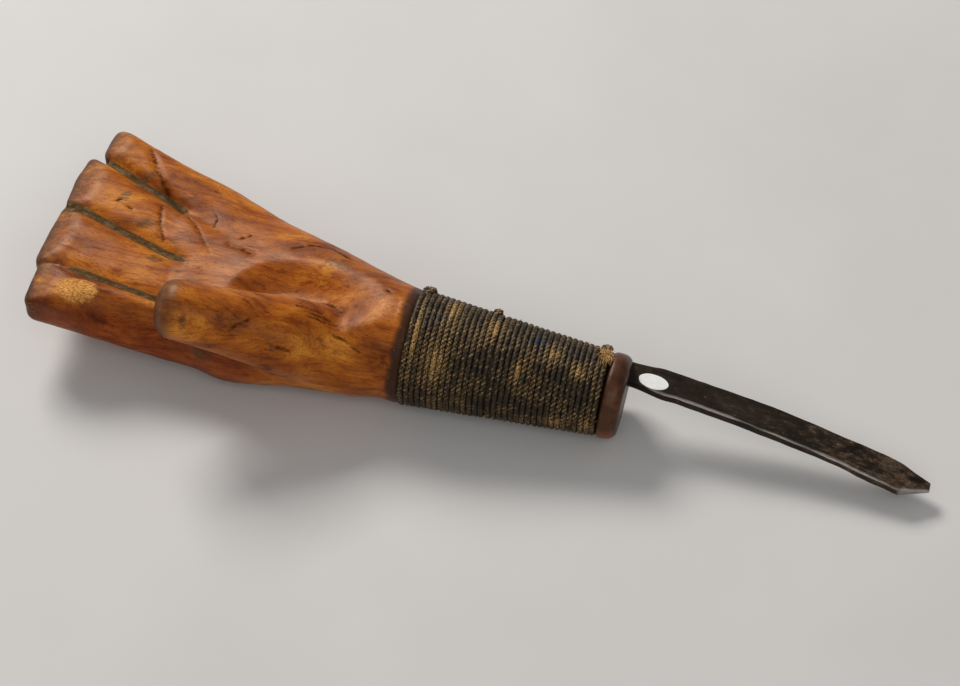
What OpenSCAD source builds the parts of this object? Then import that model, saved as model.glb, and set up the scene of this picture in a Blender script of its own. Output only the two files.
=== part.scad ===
// Carving gouge with a handle carved as an open left hand, palm up.
// The origin is the middle of the collar's end face. +X runs towards the cutting edge,
// +Z out of the palm, and the thumb is on the -Y side.

/* [Carved hand] */
// Length of the hand, from the whipping to the longest fingertip
hand_l = 111; // [98:1:126]
// Width of the palm where the fingers start
palm_w = 57; // [52:0.5:66]
// Depth of the back of the hand below the tool's axis
hand_back = 21.2; // [19:0.2:23]
// Height of the palm's rim above the tool's axis
palm_rim = 3.6; // [2:0.2:6]
// Depth of the hollow in the palm below its rim
hollow_depth = 6; // [3:0.5:8]
// Width of the index finger at its tip
index_w = 18; // [14:0.5:20]
// Width of the middle finger at its tip
middle_w = 20.5; // [16:0.5:22]
// Width of the ring finger at its tip
ring_w = 20; // [16:0.5:22]
// Width of the little finger at its tip
little_w = 12.5; // [11:0.5:16]
// Thickness of the fingers at their tips
finger_t = 14; // [11:0.5:17]
// Diameter of the thumb near its tip
thumb_d = 17; // [14:0.5:19]
// Height of the thumb's tip above the tool's axis, to the middle of the thumb
thumb_rise = 15.5; // [13:0.5:20]

/* [Wrist and collar] */
// Length of the whipped wrist
whip_l = 57.8; // [44:1.7:68]
// Diameter over the whipping at the hand
whip_hand_d = 34; // [31:0.5:37]
// Diameter over the whipping at the collar, and of the collar itself
collar_d = 24.6; // [22:0.2:29]
// Length of the wooden collar
collar_l = 5.6; // [4.5:0.1:9]
// Radius of the collar's worn front edge
collar_round = 1.8; // [0.6:0.1:2.4]

/* [Twine] */
// Diameter of the tarred twine
twine_d = 1.7; // [1.2:0.1:2]
// Share of the whipping that the hand-side length of twine covers
hand_side_share = 0.44; // [0.3:0.01:0.7]
// Gap between the twine and the wood
lay_gap = 0.05; // [0.02:0.01:0.1]
// Radius of the knots where the twine's ends are tucked away
knot_r = 1.5; // [1:0.1:2]

/* [Blade] */
// Length of the blade that shows in front of the collar
blade_l = 88; // [60:1:110]
// Width of the blade where it leaves the collar
neck_w = 7.2; // [5.5:0.1:8]
// Width of the blade behind its cutting end
blade_w = 10.1; // [9:0.1:13]
// Thickness of the blade
blade_t = 3.2; // [2.4:0.1:4]
// Depth of the gouge's channel
channel_depth = 0.7; // [0.3:0.1:1.2]
// Length of the tang inside the handle
tang_l = 50; // [30:1:60]
// Clearance all round the tang in its hole
tang_gap = 0.2; // [0.15:0.05:0.4]

/* [Label] */
// Length of the blank oval label
label_l = 8.8; // [6:0.2:9]
// Width of the blank oval label
label_w = 5.3; // [3:0.1:5.4]
// Thickness of the label
label_t = 0.2; // [0.1:0.05:0.4]

/* [Hidden] */
$fn = 72;

// Colours
wood = [0.62, 0.33, 0.12];
steel = [0.20, 0.17, 0.14];
tarred_twine = [0.13, 0.11, 0.09];
paper = [0.92, 0.92, 0.90];

// Where things lie along the axis
collar_back = -collar_l;
wrist_back = collar_back - whip_l;
split_x = wrist_back + round(whip_l * hand_side_share / twine_d) * twine_d;

// The knots lie on the upper side, turned this far from the top, away from the thumb
knot_turn = 49;

// Wood under the whipping
core_hand_r = whip_hand_d / 2 - twine_d;
core_collar_r = collar_d / 2 - twine_d;
// How far the wrist's core reaches into the carved hand
core_root = 4;
// The hand starts a little below the outside of the twine
hand_start_r = whip_hand_d / 2 - 0.8;
// The core's end inside the hand is this much slimmer
core_root_step = 0.6;

// Hand: shares of its length
palm_share = 0.68;
root_share = 0.42;
thumb_root_share = 0.11;
thumb_tip_share = 0.6;
hollow_share = 0.39;
// The hand leans away from the thumb, so its middle moves to +Y
palm_shift = 14.3;
// The middle of the palm drops this far below the tool's axis
palm_drop = 5;
// The palm is this much wider than the roots of the fingers, whose sides it rounds over
palm_extra = 3;
// The palm is fully wide, and its rim fully down, a little before its end
swell_rate = 1.09;
rim_rate = 1.25;
// Squareness of cross-sections, where 2 is an ellipse
wrist_square = 2;
palm_square = 2.5;
finger_square = 2.7;
// The fingers narrow to this share of their tip width at their roots
finger_taper = 0.7;
// Neighbouring fingers run into each other by this share of their width
finger_merge = 0.1;
// The palm thins down towards its end, under the fingers, from this share of its own length on
palm_fade = 0.8;
// Shares of its width, rim and depth that it loses there
fade_w = 0.12;
fade_up = 0.4;
fade_down = 0.35;
// The palm's hollow: its middle, its half length as a share of the hand, its half width as a share
// of the palm, and how flat its floor is
hollow_y = 7;
hollow_reach = 0.27;
hollow_half_w = 0.34;
hollow_flat = 1.35;
// The knuckles lie this much higher than the back of the hand
knuckle_rise = 1.8;
// The roots of the fingers and of the thumb start at this share of their size
root_size = 0.77;
// Share of a finger over which its root rises out of the palm
root_blend = 0.4;
// How late a finger thins, and how early the thumb does
finger_thinning = 1.2;
thumb_thinning = 1.05;
// Rounded ends: [share of the length, share of the size] at each last cross-section
finger_end = [[0.965, 0.95], [0.988, 0.84], [1, 0.66]];
thumb_end = [[0.95, 0.95], [0.985, 0.8], [1, 0.6]];
// Where those rounded ends begin
finger_full = 0.93;
thumb_full = 0.9;
// Fingertips: length as a share of the hand, and how much higher than the index finger
tip_reach = [0.975, 1, 0.995, 0.945];
tip_lift = [0, 0, 0.8, 2];
tip_w = [index_w, middle_w, ring_w, little_w];
// Height of the fingers' palm side above the tool's axis
finger_top = 2;
// Y of the index finger's outer side at its tip and at its root
index_tip_y = -15.6;
index_root_y = -16.3;
// Points in each cross-section of the hand
palm_points = 44;
finger_points = 22;

// Thumb: its middle at the wrist and at its tip
thumb_root = [-5, -2];
thumb_tip_y = -20.5;
thumb_root_r = 12.4;

// Blade: where its middle and its top leave the collar, set in from the core's outside so that
// the tang stays inside the wood, and how it bends away
neck_y = core_collar_r - 5.6;
neck_top = core_collar_r - 4.2;
neck_l = 2.2;
shoulder_l = 8;
side_slope = 0.05;
side_bend = 0.00095;
drop_slope = 0.036;
drop_bend = 0.0003;
// It widens by this much towards its cutting end, from this X on
tip_flare = 0.9;
flare_x = 15;
// The channel starts at this X and reaches its full depth over this length
channel_x = 14;
channel_run = 12;
// The underside is narrower, and follows the channel by this share up to the last stretch
under_w = 0.9;
under_share = 0.3;
under_run = 25;
// The tang narrows to this size and ends on the axis
tang_end_w = 2.4;
tang_end_top = 1.4;
// Cut-away corners of the cutting end: [length, width] on the thumb side and on the far side
near_cut = [8.6, 4.8];
far_cut = [11, 2.1];
edge_t = 0.5;
// Middle of the label
label_x = 7;
label_side = -1.3;
label_seat = 0.02;

function mix(a, b, t) = a + (b - a) * t;
function clamp01(t) = min(1, max(0, t));
function ease(t) = let (c = clamp01(t)) c * c * (3 - 2 * c);
function swell(t) = let (c = clamp01(t)) (sin(90 * c) + ease(c)) / 2;
function power(v, e) = sign(v) * pow(abs(v), e);
function sum_to(list, n) = n < 1 ? 0 : list[n - 1] + sum_to(list, n - 1);

// A rounded cross-section in the YZ plane, with its own height above and below its middle
function oval(x, y, z, half_w, up, down, squareness, count) = [
    for (i = [0:count - 1])
        let (c = cos(360 * i / count), s = sin(360 * i / count), e = 2 / squareness)
        [x, y + half_w * power(c, e), z + (s > 0 ? up : down) * power(s, e)]
];

// The middle of a cross-section
function middle(ring) = [for (axis = [0:2]) [for (p = ring) p[axis]] * [for (p = ring) 1 / len(ring)]];

// A closed skin over cross-sections that follow each other towards -X
module loft(rings) {
    count = len(rings[0]);
    last = len(rings) - 1;
    front = count * len(rings);
    back = front + 1;
    sides = [
        for (j = [0:last - 1], i = [0:count - 1])
            let (k = (i + 1) % count, a = j * count, b = a + count)
            each [[a + i, a + k, b + k], [a + i, b + k, b + i]]
    ];
    ends = [
        for (i = [0:count - 1])
            let (k = (i + 1) % count, b = last * count)
            each [[front, k, i], [back, b + i, b + k]]
    ];
    points = [for (r = rings) each r];
    polyhedron(concat(points, [middle(rings[0]), middle(rings[last])]), concat(sides, ends), convexity = 6);
}

// Depth of the palm's hollow at a distance from the whipping and a Y
function hollow(d, y) =
    let (
        u = (d / hand_l - hollow_share) / hollow_reach,
        v = (y - hollow_y) / (hollow_half_w * palm_w)
    )
    hollow_depth * ease(1 - abs(u)) * ease(hollow_flat - abs(v));

function palm_section(d) =
    let (
        t = d / (palm_share * hand_l),
        fade = ease((t - palm_fade) / (1 - palm_fade)),
        wide = swell(t * swell_rate),
        y = palm_shift * wide,
        half_w = mix(hand_start_r, (palm_w + palm_extra) / 2, wide) * (1 - fade_w * fade),
        z = -palm_drop * ease(t),
        up = mix(hand_start_r, palm_rim + palm_drop, ease(t * rim_rate)) * (1 - fade_up * fade),
        down = mix(hand_start_r, hand_back - palm_drop, wide) * (1 - fade_down * fade),
        squareness = mix(wrist_square, palm_square, ease(t))
    )
    [for (p = oval(-d, y, z, half_w, up, down, squareness, palm_points))
        [p.x, p.y, p.z > z ? max(z, p.z - hollow(d, p.y)) : p.z]];

module palm() {
    steps = 26;
    loft([for (i = [0:steps]) palm_section(palm_share * hand_l * i / steps)]);
}

function root_w(i) =
    i < 3 ? finger_taper * tip_w[i] : palm_w - finger_taper * sum_to(tip_w, 3);

// One finger, from inside the palm to its blunt tip
module finger(i) {
    roots = [for (k = [0:3]) root_w(k)];
    root_y = index_root_y + sum_to(roots, i) + roots[i] / 2;
    tip_y = index_tip_y + sum_to(tip_w, i) + tip_w[i] / 2;
    root_d = root_share * hand_l;
    tip_d = tip_reach[i] * hand_l;
    steps = 10;
    // Places along the finger, and how far its rounded end has closed in there
    places = concat([for (k = [0:steps]) [finger_full * k / steps, 1]], finger_end);
    loft([
        for (p = places)
            let (
                t = p[0],
                // The root starts slimmer, so that it rises out of the palm
                size = p[1] * mix(root_size, 1, ease(t / root_blend)),
                depth = mix(hand_back + finger_top - knuckle_rise, finger_t, pow(t, finger_thinning)) / 2,
                z = finger_top + tip_lift[i] * t - depth,
                half_w = (1 + finger_merge) * mix(root_w(i), tip_w[i], t) / 2
            )
            oval(-mix(root_d, tip_d, t), mix(root_y, tip_y, t), z,
                size * half_w, size * depth, size * depth, finger_square, finger_points)
    ]);
}

// The thumb's root starts slimmer too, inside the wrist's swelling
function thumb_r(t) =
    mix(root_size, 1, ease(t / root_blend)) * mix(thumb_root_r, thumb_d / 2, ease(t * thumb_thinning));

module thumb() {
    root_d = thumb_root_share * hand_l;
    tip_d = thumb_tip_share * hand_l;
    steps = 10;
    places = concat([for (k = [0:steps]) [thumb_full * k / steps, 1]], thumb_end);
    loft([
        for (p = places)
            let (t = p[0], r = p[1] * thumb_r(t))
            oval(-mix(root_d, tip_d, t), mix(thumb_root[0], thumb_tip_y, t),
                mix(thumb_root[1], thumb_rise, t), r, r, r, wrist_square, finger_points)
    ]);
}

// resize() sets the hand's length over the longest fingertip
module carved_hand() {
    translate([wrist_back, 0, 0])
        resize([hand_l, 0, 0])
            union() {
                palm();
                thumb();
                for (i = [0:3])
                    finger(i);
            }
}

// Turns a profile of [radius, X] points about the tool's axis
module turned(points) {
    rotate([0, 90, 0])
        rotate_extrude()
            polygon(points);
}

module wrist_core() {
    grow = (core_hand_r - core_collar_r) / whip_l;
    turned([
        [0, wrist_back - core_root],
        [core_hand_r + grow * core_root / 2 - core_root_step, wrist_back - core_root],
        [core_hand_r, wrist_back],
        [core_collar_r, collar_back],
        [0, collar_back]
    ]);
}

module collar() {
    r = collar_d / 2;
    steps = 6;
    worn_edge = [
        for (i = [0:steps])
            let (a = 90 * i / steps)
            [r - collar_round * (1 - cos(a)), -collar_round * (1 - sin(a))]
    ];
    turned(concat([[0, collar_back], [r, collar_back]], worn_edge, [[0, 0]]));
}

// Blade and tang share these lines: x < 0 is the tang
function tang_t(x) = clamp01(-x / tang_l);
function line_y(x) =
    x < 0 ? mix(neck_y, 0, tang_t(x)) : neck_y - side_slope * x - side_bend * x * x;
function top_z(x) =
    x < 0 ? mix(neck_top, tang_end_top, tang_t(x)) : neck_top - drop_slope * x - drop_bend * x * x;
function half_width(x) =
    x < 0 ? mix(neck_w, tang_end_w, tang_t(x)) / 2
    : mix(neck_w, blade_w - tip_flare, ease((x - neck_l) / shoulder_l)) / 2
        + tip_flare / 2 * ease((x - flare_x) / (blade_l - 2 * flare_x));
function thickness(x) =
    x < 0 ? mix(blade_t, tang_end_w, tang_t(x))
    : mix(blade_t, edge_t, pow(clamp01((x - blade_l + near_cut[0]) / near_cut[0]), 1.5));
function channel(x) = channel_depth * ease((x - channel_x) / channel_run);
// The underside follows the channel more closely towards the cutting end
function under(x) = mix(under_share, 1, ease((x - blade_l + under_run) / under_run));
function cut(x, corner) = corner[1] * clamp01((x - blade_l + corner[0]) / corner[0]);

// Cross-section of the blade or tang, made larger all round by gap
function blade_section(x, gap = 0) =
    let (
        far = line_y(x) + half_width(x) + gap - cut(x, far_cut),
        near = line_y(x) - half_width(x) - gap + cut(x, near_cut),
        mid = (far + near) / 2,
        half = (far - near) / 2,
        top = top_z(x) + gap,
        bottom = top_z(x) - thickness(x) - gap,
        // Where the corners are cut away, only the middle of the channel is left
        left = min(1, pow(half / (half_width(x) + gap), 2)),
        across = [1, 0.5, 0, -0.5, -1]
    )
    concat(
        [for (u = across) [x, mid + half * u, top - channel(x) * (1 - left * u * u)]],
        [for (u = across)
            [x, mid - under_w * half * u, bottom - under(x) * channel(x) * (1 - left * u * u)]]
    );

module tang_hole() {
    loft([for (x = [1, 0, -tang_l - tang_gap]) blade_section(x, tang_gap)]);
}

module handle() {
    color(wood)
        difference() {
            union() {
                carved_hand();
                wrist_core();
                collar();
            }
            tang_hole();
        }
}

module blade() {
    body = 22;
    tip_steps = 6;
    tip_start = blade_l - far_cut[0];
    stations = concat(
        [for (i = [tip_steps:-1:1]) tip_start + far_cut[0] * i / tip_steps],
        [for (i = [body:-1:1]) mix(neck_l, tip_start, i / body)],
        [neck_l, 0, -tang_l]
    );
    color(steel)
        loft([for (x = stations) blade_section(x)]);
}

// Twine turns side by side on the wrist, from one X to another, with a knot at each given X
module whipping(from_x, to_x, knots) {
    turns = round((to_x - from_x) / twine_d);
    function outside(x) = mix(whip_hand_d, collar_d, (x - wrist_back) / whip_l) / 2;
    function core(x) = outside(x) - twine_d + lay_gap;
    pitch = (to_x - from_x) / turns;
    scallops = [
        for (i = [0:turns - 1], a = [162:-36:18])
            let (x = from_x + (i + 0.5) * pitch)
            [outside(x) - twine_d / 2 * (1 - sin(a)), x + pitch / 2 * cos(a)]
    ];
    color(tarred_twine)
        union() {
            turned(concat(
                [[core(from_x), from_x + lay_gap], [outside(from_x) - twine_d / 2, from_x + lay_gap]],
                scallops,
                [[outside(to_x) - twine_d / 2, to_x - lay_gap], [core(to_x), to_x - lay_gap]]
            ));
            for (x = knots)
                rotate([-knot_turn, 0, 0])
                    translate([x, 0, outside(x)])
                        sphere(knot_r);
        }
}

module whipping_hand_side() {
    whipping(wrist_back, split_x, [wrist_back + 1.5 * twine_d, split_x - 1.5 * twine_d]);
}

module whipping_blade_side() {
    whipping(split_x, collar_back, [collar_back - 1.5 * twine_d]);
}

module label() {
    steps = 48;
    yaw = -atan(side_slope + 2 * side_bend * label_x);
    pitch = atan(drop_slope + 2 * drop_bend * label_x);
    color(paper)
        translate([label_x, line_y(label_x) + label_side, top_z(label_x) + label_seat])
            rotate([0, pitch, yaw])
                linear_extrude(label_t)
                    polygon([
                        for (i = [0:steps - 1])
                            let (a = 360 * i / steps)
                            [label_l / 2 * cos(a), label_w / 2 * sin(a)]
                    ]);
}

handle();
blade();
whipping_hand_side();
whipping_blade_side();
label();
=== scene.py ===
from math import atan, cos, pi, radians, sin

import bpy
import numpy as np
from mathutils import Matrix, Vector


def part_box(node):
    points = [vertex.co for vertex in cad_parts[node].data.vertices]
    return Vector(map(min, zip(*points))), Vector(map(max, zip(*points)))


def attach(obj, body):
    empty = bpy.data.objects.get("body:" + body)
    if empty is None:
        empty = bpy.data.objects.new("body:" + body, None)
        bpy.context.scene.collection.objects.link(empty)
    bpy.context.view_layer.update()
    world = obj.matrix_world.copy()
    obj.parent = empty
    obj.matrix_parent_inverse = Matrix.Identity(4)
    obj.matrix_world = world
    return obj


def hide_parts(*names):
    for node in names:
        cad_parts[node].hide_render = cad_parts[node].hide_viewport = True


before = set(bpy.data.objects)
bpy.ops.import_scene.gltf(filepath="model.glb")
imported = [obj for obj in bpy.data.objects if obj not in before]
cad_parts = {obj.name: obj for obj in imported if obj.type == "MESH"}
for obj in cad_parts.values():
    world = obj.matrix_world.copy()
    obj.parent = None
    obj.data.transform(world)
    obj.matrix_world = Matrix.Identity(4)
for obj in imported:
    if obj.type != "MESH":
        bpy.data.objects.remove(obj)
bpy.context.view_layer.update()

MM = 0.001


def box_mm(node):
    low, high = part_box(node)
    return np.array(low) / MM, np.array(high) / MM


HANDLE_LOW, HANDLE_HIGH = box_mm("handle")
HAND_SIDE_LOW, HAND_SIDE_HIGH = box_mm("whipping_hand_side")
BLADE_LOW, BLADE_HIGH = box_mm("blade")
LABEL_LOW, LABEL_HIGH = box_mm("label")

# Where things lie along the axis
WRIST_X = HAND_SIDE_LOW[0]
SPLIT_X = HAND_SIDE_HIGH[0]
COLLAR_X = box_mm("whipping_blade_side")[1][0]
HAND_L = WRIST_X - HANDLE_LOW[0]

# Radii of the whipped wrist, outside the twine
WHIP_HAND_R = -HAND_SIDE_LOW[2]
COLLAR_R = 12.3
TWINE_D = 1.7
WHIP_L = COLLAR_X - WRIST_X


# ---- shape helpers

def mix(a, b, t):
    return a + (b - a) * t


def ease(t):
    c = np.clip(t, 0, 1)
    return c * c * (3 - 2 * c)


def swell(t):
    c = np.clip(t, 0, 1)
    return (np.sin(np.pi / 2 * c) + ease(c)) / 2


def curve(x, points):
    """A smooth line through a few (x, value) points, flat outside them."""
    px, py = np.array(points, float).T
    slope = np.gradient(py, px)
    slope[0] = slope[-1] = 0
    x = np.clip(x, px[0], px[-1])
    i = np.clip(np.searchsorted(px, x) - 1, 0, len(px) - 2)
    h = px[i + 1] - px[i]
    t = (x - px[i]) / h
    return (
        py[i] * (1 + 2 * t) * (1 - t) ** 2
        + slope[i] * h * t * (1 - t) ** 2
        + py[i + 1] * t * t * (3 - 2 * t)
        + slope[i + 1] * h * t * t * (t - 1)
    )


def blend_in(a, b, soft):
    """Union of two distance fields with a soft seam."""
    h = np.maximum(soft - np.abs(a - b), 0) / soft
    return np.minimum(a, b) - h * h * soft / 4


def cut_to(a, b, soft):
    """What lies inside both fields, with a soft edge."""
    return -blend_in(-a, -b, soft)


LATTICE = np.random.default_rng(11).uniform(-1, 1, (32, 32, 32)).astype(np.float32)


def noise(points, size):
    """Smooth noise from -1 to 1 whose bumps are about size millimetres wide."""
    p = np.asarray(points) / size + 7.3
    i = np.floor(p).astype(int)
    f = p - i
    f = f * f * (3 - 2 * f)
    total = 0
    for corner in np.ndindex(2, 2, 2):
        at = (i + corner) % len(LATTICE)
        weight = np.prod(np.where(corner, f, 1 - f), axis=-1)
        total = total + weight * LATTICE[at[..., 0], at[..., 1], at[..., 2]]
    return total


def near_line(x, y, points):
    """Distance from a line through a few (x, y) points, seen from above."""
    best = np.inf
    for a, b in zip(np.array(points[:-1], float), np.array(points[1:], float)):
        run = b - a
        t = np.clip(((x - a[0]) * run[0] + (y - a[1]) * run[1]) / (run @ run), 0, 1)
        best = np.minimum(best, np.hypot(x - a[0] - t * run[0], y - a[1] - t * run[1]))
    return best


def circle(count):
    return np.arange(count) * 2 * pi / count


def unit(v):
    return v / np.linalg.norm(v, axis=-1, keepdims=True)


def show(name, data):
    made = bpy.data.objects.new(name, data)
    bpy.context.scene.collection.objects.link(made)
    return made


def add_mesh(name, points, faces, masks=None):
    """A smooth mesh object from points in millimetres, with float masks on its points."""
    mesh = bpy.data.meshes.new(name)
    mesh.from_pydata((np.asarray(points) * MM).tolist(), [], [list(map(int, f)) for f in faces])
    mesh.validate()
    for key, values in (masks or {}).items():
        layer = mesh.attributes.new(key, "FLOAT", "POINT")
        layer.data.foreach_set("value", np.asarray(values, np.float32))
    mesh.polygons.foreach_set("use_smooth", [True] * len(mesh.polygons))
    return show(name, mesh)


def skin(rings):
    """Points and faces of a closed skin over rings of the same number of points."""
    rings = np.asarray(rings, float)
    count, around = rings.shape[:2]
    points = np.concatenate([rings.reshape(-1, 3), rings[0].mean(0)[None], rings[-1].mean(0)[None]])
    j, i = np.meshgrid(np.arange(count - 1), np.arange(around), indexing="ij")
    a = j * around + i
    b = j * around + (i + 1) % around
    sides = np.stack([a, b, b + around, a + around], -1).reshape(-1, 4)
    first = [[count * around, (i + 1) % around, i] for i in range(around)]
    end = (count - 1) * around
    last = [[count * around + 1, end + i, end + (i + 1) % around] for i in range(around)]
    return points, sides.tolist() + first + last


# ---- the carved hand

HAND_START_R = WHIP_HAND_R - 0.8

PALM_L = 0.68 * HAND_L
PALM_HALF_W = 30
HAND_BACK = 21.2
PALM_RIM = 3.6
# How far the palm's middle moves off the wrist's axis, towards the little finger and down
PALM_SHIFT = 14.3
PALM_DROP = 5
# The little finger's side stays slimmer until the fingers begin
SLIM = 1.5
# The palm ends on a slant, this far from the wrist
PALM_END_D = 73
PALM_SLANT = 0.33

HOLLOW_X = -101
HOLLOW_Y = 0.5
HOLLOW_DEPTH = 5.4
HOLLOW_HALF_W = 13
# The hollow is steep towards the fingers and drawn out towards the wrist
HOLLOW_REACH = (15, 30)

# Where the fingers part, across the hand, at their roots and at their tips
ROOT_D = 0.42 * HAND_L
ROOT_SIDE = [-15.6, -10, 3, 17, 38.4]
TIP_SIDE = [-15.4, -1.2, 22.6, 43.3, 55.9]
ROOT_MIDDLE = [(a + b) / 2 for a, b in zip(ROOT_SIDE[:-1], ROOT_SIDE[1:])]
TIP_MIDDLE = [(a + b) / 2 for a, b in zip(TIP_SIDE[:-1], TIP_SIDE[1:])]
TIP_REACH = [0.985, 1, 0.995, 0.953]
TIP_LIFT = [0, 0, 0.8, 2]
# The fingers' tops, and their thickness at the roots and at the tips
FINGER_TOP = 2
ROOT_T = [HAND_BACK - 2.6] + 3 * [HAND_BACK + 0.2]
FINGER_T = 14
FINGER_SQUARENESS = 3.2
# The little finger's outer side is pinched in before its tip
PINCH = [0, 0, 0, 1.2]
# The slope cut on each fingertip: how far it reaches back, its angle, its turn to the side
TIP_SLOPE = [(8.5, 25, -4), (7, 27, 3), (8, 26, 3), (6.5, 30, 6)]
# How deep the fill between the fingers lies, and its two sides at the roots and at the tips
FILL_DEPTH = 2.0
FILL_LOW = (-6, -8)
FILL_HIGH = (26, 49)

# The thumb's axis at its root and its tip, across the hand and up, and its radii
THUMB_ROOT_X = WRIST_X - 0.11 * HAND_L
THUMB_TIP_X = WRIST_X - 0.607 * HAND_L
THUMB_ROOT = (-5, -2)
THUMB_TIP = (-20.5, 15.5)
THUMB_RADII = (12.4, 8.5)
# Its sides taper, so they are nearer than straight across the axis
THUMB_LEAN = 0.93

# The muscle under the thumb, a capsule that leans towards the thumb
HEEL_X = -95
HEEL_HALF_L = 17
HEEL_OFF = 6
HEEL_LEAN = 2.8
HEEL_R = 8


def bar(y, z, cy, cz, half_w, up, down, squareness):
    """Distance from a bar with a rounded cross-section that follows the X axis."""
    a = np.abs(y - cy) / half_w
    height = np.where(z > cz, up, down)
    b = np.abs(z - cz) / height
    size = np.maximum((a ** squareness + b ** squareness) ** (1 / squareness), 0.3)
    steep = size ** (1 - squareness) * np.hypot(
        a ** (squareness - 1) / half_w, b ** (squareness - 1) / height
    )
    return (size - 1) / np.maximum(steep, 0.4 / np.maximum(half_w, height))


def palm_field(x, y, z):
    d = WRIST_X - x
    t = d / PALM_L
    fade = ease((t - 0.8) / 0.2)
    cz = mix(0, -PALM_DROP, ease(t))
    wide = swell(1.09 * t)
    slim = SLIM * np.exp(-(((t - 0.66) / 0.32) ** 2))
    half_w = mix(HAND_START_R, PALM_HALF_W, wide) - slim
    up = mix(HAND_START_R, PALM_RIM + PALM_DROP, ease(1.25 * t))
    down = mix(HAND_START_R, HAND_BACK - PALM_DROP, wide)
    field = bar(
        y, z, PALM_SHIFT * wide - slim, cz,
        half_w * (1 - 0.12 * fade),
        up * (1 - 0.2 * ease((t - 0.6) / 0.4)),
        down * (1 - 0.35 * fade),
        2 + 0.5 * ease(t),
    )
    along = x - HOLLOW_X
    reach = np.where(along < 0, *HOLLOW_REACH)
    far = np.hypot(along / reach, (y - HOLLOW_Y) / HOLLOW_HALF_W)
    field = field + HOLLOW_DEPTH * ease((1.15 - far) / 0.85) * ease((z - cz) / 3)
    return cut_to(field, d - PALM_END_D - PALM_SLANT * (y - 10), 8)


def tip_slope(i, d, y, z):
    back, angle, turn = TIP_SLOPE[i]
    slope = np.radians(angle)
    side = np.radians(turn)
    return (
        (d - (TIP_REACH[i] * HAND_L - back)) * np.sin(slope)
        + (z - FINGER_TOP - TIP_LIFT[i]) * np.cos(slope)
        + (y - TIP_MIDDLE[i]) * np.sin(side)
    )


def finger_field(i, x, y, z):
    d = WRIST_X - x
    tip_d = TIP_REACH[i] * HAND_L
    t = (d - ROOT_D) / (tip_d - ROOT_D)
    root_w = ROOT_SIDE[i + 1] - ROOT_SIDE[i]
    tip_w = TIP_SIDE[i + 1] - TIP_SIDE[i]
    wide = mix(root_w, tip_w, np.clip(t, 0, 1.2))
    size = mix(0.5, 1, ease((t + 0.35) / 0.7))
    pinch = PINCH[i] * np.exp(-((t - 0.55) / 0.3) ** 2)
    depth = mix(ROOT_T[i], FINGER_T, np.clip(t, 0, 1) ** 1.2) / 2
    cz = FINGER_TOP + TIP_LIFT[i] * t - depth
    cy = mix(ROOT_MIDDLE[i], TIP_MIDDLE[i], t) - pinch / 2
    half_w = size * (0.55 * wide - pinch / 2)
    field = bar(y, z, cy, cz, half_w, size * depth, size * depth, FINGER_SQUARENESS)
    end = (d - tip_d) + 0.04 * np.abs(y - TIP_MIDDLE[i]) - 0.1 * (z - cz)
    field = cut_to(field, end, 3)
    field = cut_to(field, tip_slope(i, d, y, z), 1.2)
    if i == 0:
        # The index finger's upper corner is pared away towards its root
        ridge_y = mix(-10, -18, ease((d - 86) / 17))
        field = cut_to(field, 0.6 * (z - FINGER_TOP) - 0.8 * (y - ridge_y), 3)
    return cut_to(field, ROOT_D - 14 - d, 14)


def fill_field(x, y, z):
    """What fills the grooves between the fingers part of the way up."""
    d = WRIST_X - x
    t = (d - ROOT_D) / (HAND_L - ROOT_D)
    low = mix(*FILL_LOW, t)
    high = mix(*FILL_HIGH, t)
    lift = np.interp(y, [10, 50], [0, 1.6]) * t
    side = np.abs(y - (low + high) / 2) - (high - low) / 2
    field = np.maximum(z - FINGER_TOP + FILL_DEPTH - lift, side)
    return np.maximum(field, d - HAND_L + 4.5 + 0.15 * np.abs(y - 18))


def thumb_facet(x, y, z):
    """A knife cut across the near side of the thumb's tip."""
    return 0.64 * (THUMB_TIP_X - x) - 0.6 * (y - THUMB_TIP[0]) - 0.2 * (z - THUMB_TIP[1]) - 3.1


def thumb_field(x, y, z):
    t = (x - THUMB_ROOT_X) / (THUMB_TIP_X - THUMB_ROOT_X)
    s = np.clip(t, 0, 1)
    # It bows a little up towards its tip
    cy = mix(THUMB_ROOT[0], THUMB_TIP[0], s)
    cz = mix(THUMB_ROOT[1], THUMB_TIP[1], s) + 0.6 * np.sin(np.pi * s) * (s - 0.5)
    radius = mix(0.77, 1, ease(s / 0.4)) * mix(*THUMB_RADII, ease(1.05 * s))
    field = (np.sqrt((y - cy) ** 2 + (z - cz) ** 2) - radius) * THUMB_LEAN
    root = np.array([THUMB_ROOT_X, *THUMB_ROOT])
    tip = np.array([THUMB_TIP_X, *THUMB_TIP])
    axis = unit(tip - root)
    along = (x - tip[0]) * axis[0] + (y - tip[1]) * axis[1] + (z - tip[2]) * axis[2]
    field = cut_to(field, along, 6)
    field = cut_to(field, thumb_facet(x, y, z), 1.5)
    return cut_to(field, x - THUMB_ROOT_X, 8)


def heel_field(x, y, z):
    lean = HEEL_LEAN * np.clip((-78 - x) / 34, 0, 1)
    past_end = np.clip(np.abs(x - HEEL_X) - HEEL_HALF_L, 0, None)
    return np.sqrt((y + HEEL_OFF + lean) ** 2 + (z + HEEL_OFF + lean) ** 2 + past_end ** 2) - HEEL_R


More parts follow.
